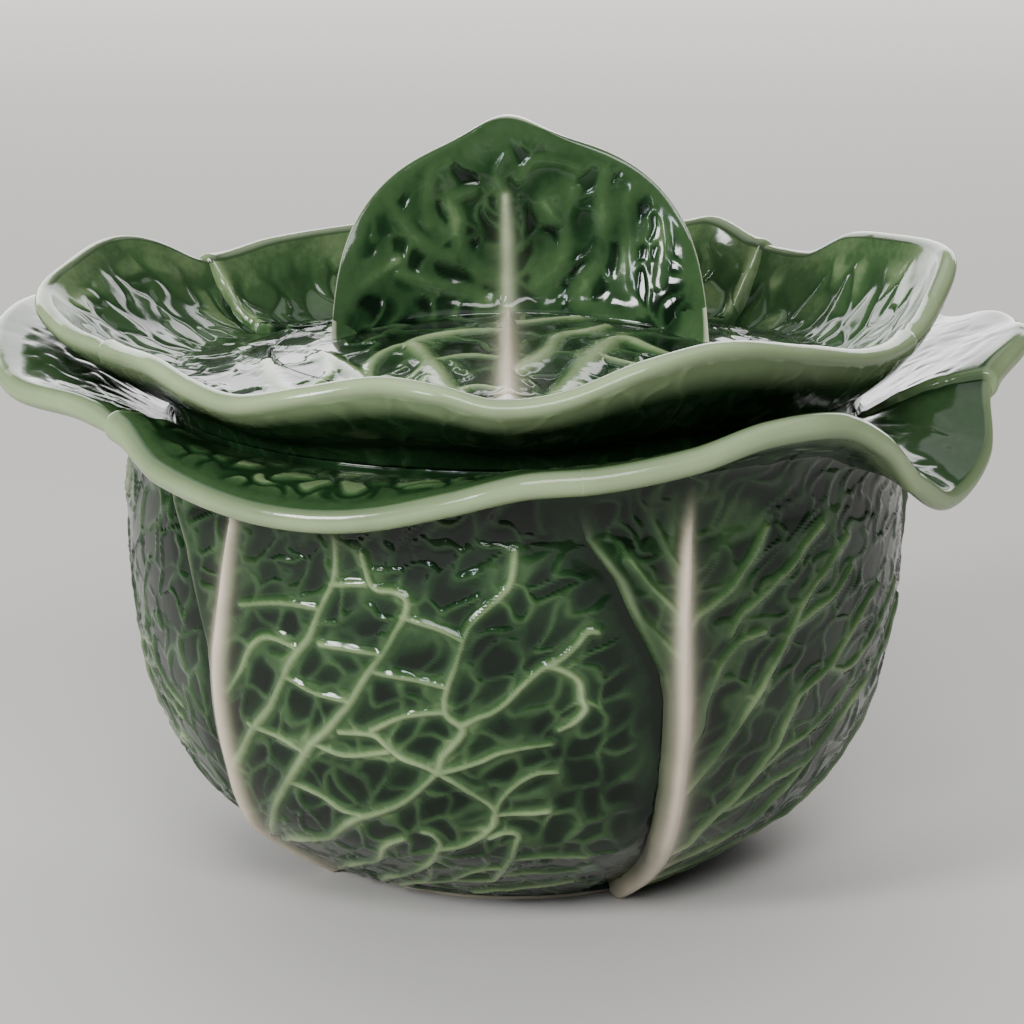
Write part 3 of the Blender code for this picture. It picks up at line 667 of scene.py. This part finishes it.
    gap, middle, wall, own = cells(x, y, 100 * number + 7, long, short, lean)
    strength = 0.15 + 0.85 * wall
    calm = between(2.5, 9, from_left[:, outer]) * between(1, 9, from_right[:, outer] - tucked[:, outer])
    # the front left leaf's calm band along its right margin is widened; it is smoothed and painted darker there as
    # shade beside the front right leaf's step
    if name == "front_left":
        calm = calm * between(8, 17, from_right[:, outer] - tucked[:, outer] + 3)
    calm = np.clip(calm + 0.12, 0, 1)
    wall_core = strength * calm / (1 + (gap / 1.5) ** 2.4)
    deep = middle * between(0.4, 3.0, main_clear) * between(0.4, 3.0, rib_clear) * calm * (0.55 + 0.45 * own)
    halo = np.exp(-(np.minimum(main_clear, rib_clear) / 3.4) ** 2)
    relief = np.maximum(main_high * (0.3 + 0.7 * calm), 0.75 * wall_core) - 1.5 * deep - 0.25
    relief = relief + 0.16 * waves(x, y, number + 60, 12)
    relief = np.maximum(relief, rib_high - 0.3)
    push = np.zeros(radius.shape)
    push[:, outer] = relief * section[outer]
    tone = np.full(radius.shape, 0.3)
    main_tone = main_core * (0.35 + 0.65 * calm)
    pale = 0.22 if name == "front_right" else 0.31
    # the (1 - calm) term makes the tone 0.08 darker near either margin; along the front left leaf's widened right band
    # this is painted shade beside the overlap step
    shade = (0.22 + 0.12 * halo + pale * np.maximum(main_tone, 0.55 * wall_core) - 0.30 * deep - 0.08 * (1 - calm)
             + 0.06 * waves(x, y, number + 80, 34))
    tone[:, outer] = shade * section[outer] + 0.30 * (1 - section[outer])
    rib = np.zeros(radius.shape)
    rib[:, outer] = rib_core * section[outer] * between(168, 150, travel[:, outer])

    # The brim's upper face: soft pale swellings on deep green
    inner = slice(tip_end, crest_end)
    bx = np.radians(azimuth[:, inner]) * 140
    by = surface[:, inner] - surface[:, tip_end, None]
    group = max(number, 1)     # the two front leaves share their pattern, where they run into each other
    _, middle, _, own = cells(bx, by, 100 * group + 31, 13.0, 9.5, lambda px, py: 90 + 20 * waves(px, py, 5, 50))
    swell = middle ** 1.7 * between(4, 10, by)
    brim_az = azimuth[:, inner]
    smooth = np.maximum(between(44, 54, brim_az) * between(124, 116, brim_az),
                        between(232, 244, brim_az) * between(300, 288, brim_az))
    push[:, inner] = (0.8 * swell - 0.5 * between(4, 11, by)) * (1 - 0.7 * smooth)
    tone[:, inner] = 0.18 + 0.44 * swell * (0.3 + 0.7 * own) + 0.20 * between(9, 2, by)
    tone[:, inner] += smooth * (0.36 - tone[:, inner]) * between(34, 20, by)
    push[:, upper_end:] *= np.clip(1 - np.arange(rows - upper_end) / 4, 0, 1)

    # The margins: the left one lies over its neighbour, the right one runs on underneath, with painted shade in the
    # crease beside it
    over = np.zeros(rows)
    over[:body_rows] = 1
    over[body_rows:lower_end] = np.linspace(1, 0.25, lower_end - body_rows)
    over[lower_end:tip_end] = np.linspace(0.25, 0.8, tip_end - lower_end)
    over[tip_end:upper_end] = 0.8
    over[upper_end:crest_end] = np.linspace(0.8, 0, crest_end - upper_end)
    on_brim = between(body_rows - 14, body_rows + 10, np.arange(rows))
    over_left = over * (1 - on_brim * (name == FUSED))
    over_right = over * (1 - 0.96 * on_brim * (following == FUSED))
    rounded = np.sqrt(np.clip(1 - (1 - np.clip(from_left / 2.6, 0, 1)) ** 2, 0, 1))
    proud = 2.3 * np.exp(-from_left / 16) * rounded - 2.6 * (1 - rounded)
    sunk = -1.1 * between(tucked + 12, tucked - 0.5, from_right)
    push += proud * over_left + sunk * over_right
    lip = np.exp(-((from_left - 1.5) / 1.6) ** 2) * between(100, 120, travel)
    crease_shade = np.exp(-((from_right - tucked) / 3.0) ** 2)
    # painted shade: the crease where this leaf runs under its right neighbour's margin is darkened
    tone += 0.10 * lip * over_left - 0.20 * crease_shade * over_right

    edge = np.zeros(radius.shape)
    edge[:, cove_end:lower_end] = 0.55 * between(0.62, 0.92, way)
    edge[:, lower_end:tip_end] = np.interp(np.arange(TIP_ROWS), [0, 5, 9, 14], [0.55, 1, 0.9, 0.3])
    edge = np.clip(edge + 0.3 * lip * over_left * between(118, 140, travel), 0, 1)
    material = glaze("bowl_leaf_" + name, GREEN, CREAM, PALE_GREEN, group + 1)
    return piece("bowl_leaf_" + name, "bowl", grid, tone, rib, edge, material, push=push)


def floor_relief(x, y):
    """Height, tone and rib of the leaf pattern over the lid's floor, seen from above."""
    flat = np.stack([x, y], -1)
    veins = []
    for half, line in FLOOR_VEINS:
        fine = smooth_line(line, 5)
        veins.append((fine, 1.15 * half * np.linspace(1.25, 0.7, len(fine)), 0.35 + 0.38 * half))
    spine = smooth_line([(-1.6, -140), (-2.1, -90), (-2.2, -43), (-2.3, 8), (-2.3, 34)], 8)
    spine_wide = np.interp(spine[:, 1], [-140, -110, -60, 30], [4.4, 3.2, 2.6, 2.3])
    rib_high, rib_core, rib_clear = vein_field(flat, [(spine, spine_wide, 2.3)])
    high, core, clear = vein_field(flat, veins)
    gap, middle, wall, own = cells(x, y, 777, 34, 19, lambda px, py: np.where(px > 0, 28.0, -28.0))
    clear = np.minimum(clear, rib_clear)
    deep = middle * between(0.2, 3, clear) * (0.5 + 0.5 * own)
    wall_core = (0.1 + 0.9 * wall) / (1 + (gap / 1.8) ** 2.4)
    relief = np.maximum(high, 0.6 * wall_core) - 1.5 * deep + 0.12 * waves(x, y, 71, 26)
    relief = np.maximum(relief, rib_high - 0.4)
    tone = 0.27 + 0.12 * np.exp(-(clear / 5) ** 2) + 0.32 * np.maximum(core, 0.5 * wall_core) - 0.40 * deep
    return relief, tone, rib_core


def lid_leaf(name, left, right, over_left, over_right, number):
    """One leaf of the lid's dish: underside, rolled edge and upper side back to the floor."""
    width = math.radians(right - left) * 130
    tuck_left = 0.0 if over_left else 2.4
    tuck_right = 0.0 if over_right else 2.4
    span = math.degrees(width / 130)
    middle = np.arange(3.6, width - 3.2, GRID)
    close = np.array(CLOSE_COLUMNS)
    share = np.concatenate([close, middle, width - close[::-1]]) / width
    azimuth = left - tuck_left + (span + tuck_left + tuck_right) * share
    rim_r, rim_z = rim_at(LID_RIM, azimuth)
    control = (rim_r - (0.35 + 0.17 * between(136, 150, rim_r)) * (rim_r - 100) - 2, 157.0)
    lower, tip, upper, way = thick_edge((100.0, 159.5), control, (rim_r, rim_z), 0.25, 2.6, 3.5, 56)
    first = 16                 # the rows before it are inside the plate, where the root takes their place
    lower, lower_way = lower[:, first:], way[first:]
    columns = len(azimuth)

    def straight(first, last, count):
        t = np.linspace(0, 1, count)[:, None]
        return np.array(first) * (1 - t) + np.array(last) * t

    lodged = np.linspace(80.5, 111.4, 8)
    under = np.concatenate([
        np.column_stack([lodged, dome(lodged) - DISH_ROOT_THICKNESS + 0.3]),
        straight((112.1, dome(112) - 5), (112.1, 152.2), 3),
        straight((112.2, 151.8), (112.6, 152.0), 2),
    ])
    under = np.broadcast_to(under, (columns, *under.shape))
    foot = (112.8, 152.5)
    join, _ = bezier(foot, (113.6, 0.25 * foot[1] + 0.75 * lower[:, 0, 1]), (lower[:, 0, 0], lower[:, 0, 1]),
                     np.linspace(0, 1, 16)[:-1])
    upper = upper[:, ::-1]
    run = np.linspace(0, 1, 30)[1:]
    home, _ = bezier((upper[:, -1, 0], upper[:, -1, 1]), (106.0, 162.2), (80.0, dome(80.0)), run)
    profile = np.concatenate([under, join, lower, tip, upper, home], 1)
    radius, height = profile[..., 0], profile[..., 1]
    lower_start = under.shape[1] + join.shape[1]
    lower_end = lower_start + lower.shape[1]
    tip_end = lower_end + tip.shape[1]
    rows = radius.shape[1]
    spread = np.broadcast_to(azimuth[:, None], radius.shape)
    grid = at(spread, radius, height)

    arc = arc_length(grid)
    top = slice(tip_end, rows)
    inward = arc[:, top] - arc[:, tip_end, None]
    bx = np.radians(spread[:, top]) * 132
    _, middle, _, own = cells(bx, inward, 500 + 10 * number, 21.0, 11.0, lambda px, py: 10 * waves(px, py, 9, 60))
    blob = middle * between(4, 12, inward)
    ripple = 0.6 * blob + 0.35 * waves(bx, inward, 30 + number, 24) * between(4, 14, inward)
    tone_top = 0.30 + 0.22 * blob * (0.25 + 0.75 * own) + 0.20 * between(16, 2, inward)
    floor_high, floor_tone, floor_rib = floor_relief(grid[:, top, 0], grid[:, top, 1])
    mix = between(112, 98, radius[:, top])
    if name == "front":
        mix = np.maximum(mix, between(30, 12, np.abs(spread[:, top] + 1)) * between(5, 13, inward))
    push = np.zeros(radius.shape)
    tone = np.full(radius.shape, 0.16)
    rib = np.zeros(radius.shape)
    push[:, top] = ripple * (1 - mix) + floor_high * mix
    tone[:, top] = tone_top * (1 - mix) + floor_tone * mix
    rib[:, top] = floor_rib * between(1.0, 8.0, inward) * (mix if name == "front" else 0)

    # Faint veins underneath, on a near-black tone that is painted shade under the lid, lighter towards the rolled edge
    below = slice(0, lower_end)
    ux = np.radians(spread[:, below]) * 118
    gap, _, wall, _ = cells(ux, arc[:, below], 900 + number, 26, 11, lambda px, py: 25 * waves(px, py, 11, 80))
    line = wall / (1 + (gap / 0.9) ** 3)
    push[:, below] = 0.35 * line * between(0, 10, arc[:, below])
    tone[:, below] = 0.08 + 0.12 * line + 0.28 * np.concatenate([np.zeros(lower_start), between(0.75, 1.0, lower_way)])

    # Margins; where a leaf runs under its neighbour, the crease gets painted shade
    over = np.zeros(rows)
    over[lower_start:lower_end] = np.linspace(0, 0.3, lower_end - lower_start)
    over[lower_end:tip_end] = np.linspace(0.3, 0.5, tip_end - lower_end)
    inside = rows - tip_end
    over[tip_end:] = np.interp(np.arange(inside), [0, 12, 50, inside - 4, inside], [0.5, 1, 1, 0.25, 0])
    proud = 2.2 if name == "front" else 3.6
    for lies_over, tuck, distance in (
        (over_left, tuck_left, share * width), (over_right, tuck_right, (1 - share) * width)
    ):
        distance = distance[:, None]
        if lies_over:
            rounded = np.sqrt(np.clip(1 - (1 - np.clip(distance / 2.4, 0, 1)) ** 2, 0, 1))
            push += (proud * np.exp(-distance / 14) * rounded - 2.2 * (1 - rounded)) * over
            tone += 0.24 * np.exp(-((distance - 2.0) / 2.2) ** 2) * over * (np.arange(rows) >= tip_end)
        else:
            hidden = math.radians(tuck) * 130
            push += -1.1 * between(hidden + 9, hidden, distance) * over
            # painted shade in the crease along the margin that runs underneath
            tone += -0.14 * np.exp(-((distance - hidden) / 3.0) ** 2) * over
    edge = np.zeros(radius.shape)
    edge[:, lower_start:lower_end] = 0.5 * between(0.80, 0.97, lower_way)
    edge[:, lower_end:tip_end] = np.interp(np.arange(TIP_ROWS), [0, 5, 9, 14], [0.5, 1, 0.8, 0.15])
    material = glaze("lid_leaf_" + name, GREEN, CREAM, PALE_GREEN, number + 11)
    return piece("lid_leaf_" + name, "lid", grid, tone, rib, edge, material, push=push)


def turned(name, body, outline, tone, material, relief=None, columns=360):
    """Round piece from a closed outline of radius and height, with its corners as given."""
    outline = np.array(outline, float)
    azimuth = np.arange(columns) * 360 / columns
    spread, radius = np.meshgrid(azimuth, outline[:, 0], indexing="ij")
    _, height = np.meshgrid(azimuth, outline[:, 1], indexing="ij")
    grid = at(spread, radius, height)
    push = None
    shade = np.full(radius.shape, tone)
    rib = np.zeros(radius.shape)
    if relief is not None:
        push, shade, rib = relief(grid, radius, height)
    shade = shade + 0.05 * waves(grid[..., 0] + grid[..., 2], grid[..., 1] - grid[..., 2], len(name), 30)
    return piece(name, body, grid, shade, rib, np.zeros(radius.shape), material, wrap_columns=True, push=push)


def rounded_outline(corners, step):
    """Closed outline through the corners, each cut by its own radius, with a point every step mm."""
    points = []
    count = len(corners)
    for i, (r, z, cut) in enumerate(corners):
        here = np.array([r, z])
        ends = []
        for other in (corners[i - 1], corners[(i + 1) % count]):
            toward = np.array(other[:2]) - here
            length = np.linalg.norm(toward)
            ends.append(here + toward / length * min(cut, length * 0.45))
        enter, leave = ends
        for t in np.linspace(0, 1, 5):
            points.append((1 - t) ** 2 * enter + 2 * t * (1 - t) * here + t ** 2 * leave)
    fine = []
    for a, b in zip(points, points[1:] + points[:1]):
        parts = max(1, int(np.linalg.norm(b - a) / step))
        fine += [a + (b - a) * k / parts for k in range(parts)]
    return fine


def make_round_pieces():
    inset = catmull(BODY_PROFILE, np.linspace(0, 8, 33))
    slope = np.gradient(inset, axis=0)
    slope /= np.linalg.norm(slope, axis=1, keepdims=True)
    side = np.column_stack([-slope[:, 1], slope[:, 0]])
    outer = inset + 4.5 * side
    inner = inset + 9.0 * side
    corners = [(0.02, 5.5, 0.01), (65.0, 5.5, 1.0)]
    corners += [(r, z, 0.5) for r, z in outer[:-1]]
    corners += [(112.5, 142.0, 0.5), (112.5, 146.5, 0.6), (104.5, 146.5, 1.2), (104.5, 137.5, 3.0)]
    corners += [(r, z, 0.6) for r, z in inner[28:3:-1]]
    corners += [(60.0, 10.5, 5.0), (0.02, 10.5, 0.01)]
    wall = glaze("bowl_wall", GREEN, CREAM, PALE_GREEN, 21)
    turned("bowl_wall", "bowl", rounded_outline(corners, 3.0), 0.42, wall)
    foot = glaze("foot_ring", [(0.0, (0.20, 0.24, 0.13)), (0.5, (0.55, 0.50, 0.38)), (1.0, (0.68, 0.62, 0.50))],
                 CREAM, PALE_GREEN, 22)
    turned("foot_ring", "bowl", rounded_outline([
        (56.5, 0.0, 0.8), (64.5, 0.0, 0.8), (64.5, 5.2, 0.3), (56.5, 5.2, 0.3)], 1.0), 0.5, foot)
    flange = glaze("lid_flange", GREEN, CREAM, PALE_GREEN, 23)

    def flange_relief(grid, radius, height):
        across = np.degrees(np.arctan2(grid[..., 0], -grid[..., 1])) * 2.0
        gap, _, wall_strength, _ = cells(across, height * 1.0, 321, 26, 12, lambda px, py: 20 * waves(px, py, 4, 70))
        line = wall_strength / (1 + (gap / 0.9) ** 3) * (radius > 110)
        # the near-black base tone is painted shade under the lid; the pale lines are faint veins
        return 0.3 * line, 0.13 + 0.16 * line, np.zeros(radius.shape)

    turned("lid_flange", "lid", rounded_outline([
        (96.5, 131.0, 0.8), (102.0, 131.0, 1.5), (102.0, 146.8, 1.5), (111.5, 146.8, 1.2), (111.5, FLANGE_TOP_Z, 0.4),
        (96.5, FLANGE_TOP_Z, 0.3)], 0.9), 0.14, flange, flange_relief, 540)
    plate = glaze("lid_plate", GREEN, CREAM, PALE_GREEN, 11)

    def plate_relief(grid, radius, height):
        high, shade, rib = floor_relief(grid[..., 0], grid[..., 1])
        top = ((height > dome(radius) - 0.3) & (radius < 80.2)) * 1.0
        return high * top, shade * top + 0.2 * (1 - top), rib * top

    sunk = DISH_ROOT_THICKNESS + PLATE_THICKNESS
    corners = [(r, dome(r) - PLATE_THICKNESS, 0.01) for r in (0.02, 18.0, 36.0, 54.0, 72.0)]
    corners += [(80.0, dome(80.0) - sunk, 0.5), (91.0, dome(91.0) - sunk, 0.5)]
    corners += [(95.0, FLANGE_TOP_Z + 0.3, 0.5), (112.0, FLANGE_TOP_Z + 0.3, 0.5)]
    corners += [(r, dome(r) - DISH_ROOT_THICKNESS, 0.2) for r in (112.0, 96.0, 80.0)]
    corners += [(r, dome(r), 0.01) for r in np.linspace(80.0, 0.02, 21)]
    turned("lid_plate", "lid", rounded_outline(corners, 1.1), 0.2, plate, plate_relief, 420)


def make_handle():
    """The leaf that stands up across the lid, with a flared foot and a thin round edge."""
    base = DOME_TOP_Z - 0.6
    turn = np.radians(np.concatenate([np.linspace(0, 80, 96), np.linspace(81, 89.6, 22)]))
    across = np.sin(np.radians(np.linspace(-90, 90, 190))) * 0.35 + np.linspace(-1, 1, 190) * 0.65
    turn, across = np.meshgrid(turn, across, indexing="ij")
    narrow = np.cos(turn) ** (2 / HANDLE_ROUNDNESS)
    rise = np.sin(turn) ** (2 / HANDLE_ROUNDNESS)
    x = HANDLE_HALF_WIDTH * narrow * across
    spread = np.abs(x) / HANDLE_HALF_WIDTH
    foot_sweep = 34 + (40 - 34) * between(-6, 6, x)
    sweep = 9 + (foot_sweep - 9) * (1 - rise) ** 3
    slope = 2.2 * sweep * spread ** 1.2 / HANDLE_HALF_WIDTH * np.sign(x)
    length = np.hypot(1, slope)
    y = HANDLE_Y - sweep * spread ** 2.2
    z = base + (HANDLE_HEIGHT + 0.6) * rise + 7 * rise ** 3 * np.exp(-((x + 4.5) / 14) ** 2)
    thin = 2.75 * (1 - 0.3 * rise) * np.sqrt(np.clip(1 - np.abs(across) ** 6, 0, 1))
    thin = thin * np.sqrt(np.clip(1 - (np.degrees(turn) / 90) ** 40, 0, 1)) + 0.02
    flare = 4.5 * np.clip(1 - (z - base) / 7.5, 0, 1) ** 2 * np.clip(1 - np.abs(across) ** 8, 0, 1)
    sides = []
    for way in (-1, 1):
        reach = (thin + flare) / length * way
        side_x, side_y = HANDLE_X + x - reach * slope, y + reach
        fall = DOME_TOP_Z - dome(np.hypot(side_x, side_y))
        sides.append(np.stack([side_x, side_y, z - fall * (1 - rise) ** 4], -1))
    front, back = sides
    grid = np.concatenate([front, back[:, ::-1]], 1)
    px = np.concatenate([x, x[:, ::-1]], 1) + HANDLE_X
    pz = np.concatenate([z, z[:, ::-1]], 1)
    rear = np.concatenate([np.zeros(x.shape), np.ones(x.shape)], 1)
    flat = np.stack([px, pz], -1)
    veins = []
    for half, line in HANDLE_VEINS:
        fine = smooth_line(line, 5)
        veins.append((fine, 1.6 * half * np.linspace(1.1, 0.7, len(fine)), 0.7))
    spine = smooth_line([(-2.3, 168), (-2.2, 185), (-2.5, 200), (-3, 214)], 10)
    spine_wide = np.interp(spine[:, 1], [170, 200, 214], [2.4, 1.9, 1.1])
    rib_high, rib_core, rib_clear = vein_field(flat, [(spine, spine_wide, 1.5)])
    high, core, clear = vein_field(flat, veins)
    gap, middle, wall, own = cells(px + 400 * rear, pz, 55, 10.5, 7.0, lambda a, b: np.where(a > 0, 25.0, -25.0))
    clear = np.minimum(clear, rib_clear)
    outline_x = HANDLE_HALF_WIDTH * (1 - np.abs(np.concatenate([across, across[:, ::-1]], 1)))
    outline_x = outline_x * np.concatenate([narrow, narrow], 1)
    outline_z = np.concatenate([1 - rise, 1 - rise], 1) * HANDLE_HEIGHT
    rim_distance = 1 / np.sqrt(1 / np.maximum(outline_x, 0.05) ** 2 + 1 / np.maximum(outline_z, 0.05) ** 2)
    calm = between(3, 12, rim_distance)
    deep = middle * between(-0.5, 2, clear) * between(0.2, 0.5, own)
    relief = (np.maximum(0.8 * high, 0.35 * wall / (1 + (gap / 2.2) ** 2.4)) - 0.6 * deep) * calm
    relief = np.maximum(relief, (0.8 * rib_high - 0.2) * calm * between(1, 6, pz - base))
    relief = (relief + 0.16 * waves(px, pz, 15, 18) * calm) * between(-1, 5, pz - base)
    tone = 0.30 + 0.12 * core + 0.07 * waves(px, pz, 16, 20) - 0.30 * deep
    tone = tone * calm + 0.38 * (1 - calm)
    rib = rib_core * calm * 0.5
    edge = between(0.9, 0.1, rim_distance)
    tone = tone + 0.14 * rib_core * calm
    material = glaze("handle_leaf", GREEN, (0.52, 0.54, 0.38), (0.42, 0.45, 0.32), 31)
    return piece("handle_leaf", "lid", grid, tone, rib, edge, material, push=relief)


for leaf in range(len(LEAVES)):
    bowl_leaf(leaf)
lid_leaf("front", -70.0, 70.0, True, True, 0)
lid_leaf("right", 70.0, 135.0, False, False, 1)
lid_leaf("back_right", 135.0, 181.0, True, False, 2)
lid_leaf("back_left", 181.0, 236.0, True, True, 3)
lid_leaf("left", 236.0, 290.0, False, False, 4)
make_round_pieces()
make_handle()


def area_light(name, place, target, size, power, colour=(1, 1, 1)):
    data = bpy.data.lights.new(name, "AREA")
    data.shape = "RECTANGLE"
    data.size, data.size_y = size
    data.energy = power
    data.color = colour
    lamp = bpy.data.objects.new(name, data)
    lamp.location = place
    lamp.rotation_euler = (Vector(target) - Vector(place)).to_track_quat("-Z", "Y").to_euler()
    bpy.context.scene.collection.objects.link(lamp)
    return lamp


def make_stage():
    mesh = bpy.data.meshes.new("floor")
    size = 8.0
    mesh.from_pydata([(-size, -size, 0), (size, -size, 0), (size, size, 0), (-size, size, 0)], [], [(0, 1, 2, 3)])
    floor = bpy.data.objects.new("floor", mesh)
    bpy.context.scene.collection.objects.link(floor)
    material = bpy.data.materials.new("floor")
    material.use_nodes = True
    shader = material.node_tree.nodes["Principled BSDF"]
    shader.inputs["Base Color"].default_value = (0.46, 0.448, 0.43, 1)
    shader.inputs["Roughness"].default_value = 0.8
    shader.inputs["Specular IOR Level"].default_value = 0.2
    mesh.materials.append(material)
    world = bpy.data.worlds.new("studio")
    world.use_nodes = True
    world.node_tree.nodes["Background"].inputs["Color"].default_value = (0.86, 0.88, 0.90, 1)
    world.node_tree.nodes["Background"].inputs["Strength"].default_value = 0.10
    bpy.context.scene.world = world
    middle = (0, 0, 0.13)
    area_light("ceiling", (0, 0.6, 3.4), (0, 0.6, 0), (4.0, 3.5), 60)
    area_light("key", (-1.5, -1.2, 0.95), middle, (0.45, 0.55), 44)
    area_light("front", (0.3, -1.9, 1.7), middle, (1.2, 0.8), 46)
    area_light("back", (0, 4.6, 1.95), middle, (8.0, 3.2), 430)
    area_light("strip", (-0.55, -1.5, 0.75), middle, (0.12, 0.4), 6, (0.85, 0.92, 1))


def make_camera():
    """The photograph's view: along +Y, 13.5 degrees down, from 1 m."""
    data = bpy.data.cameras.new("camera")
    data.sensor_width = 36
    data.lens = 105.7
    data.shift_x = -0.003
    camera = bpy.data.objects.new("camera", data)
    target = Vector((0, 0, 0.1124))
    tilt = math.radians(13.5)
    camera.location = target + Vector((0, -math.cos(tilt), math.sin(tilt)))
    camera.rotation_euler = (math.radians(90) - tilt, 0, 0)
    bpy.context.scene.collection.objects.link(camera)
    bpy.context.scene.camera = camera


make_stage()
make_camera()
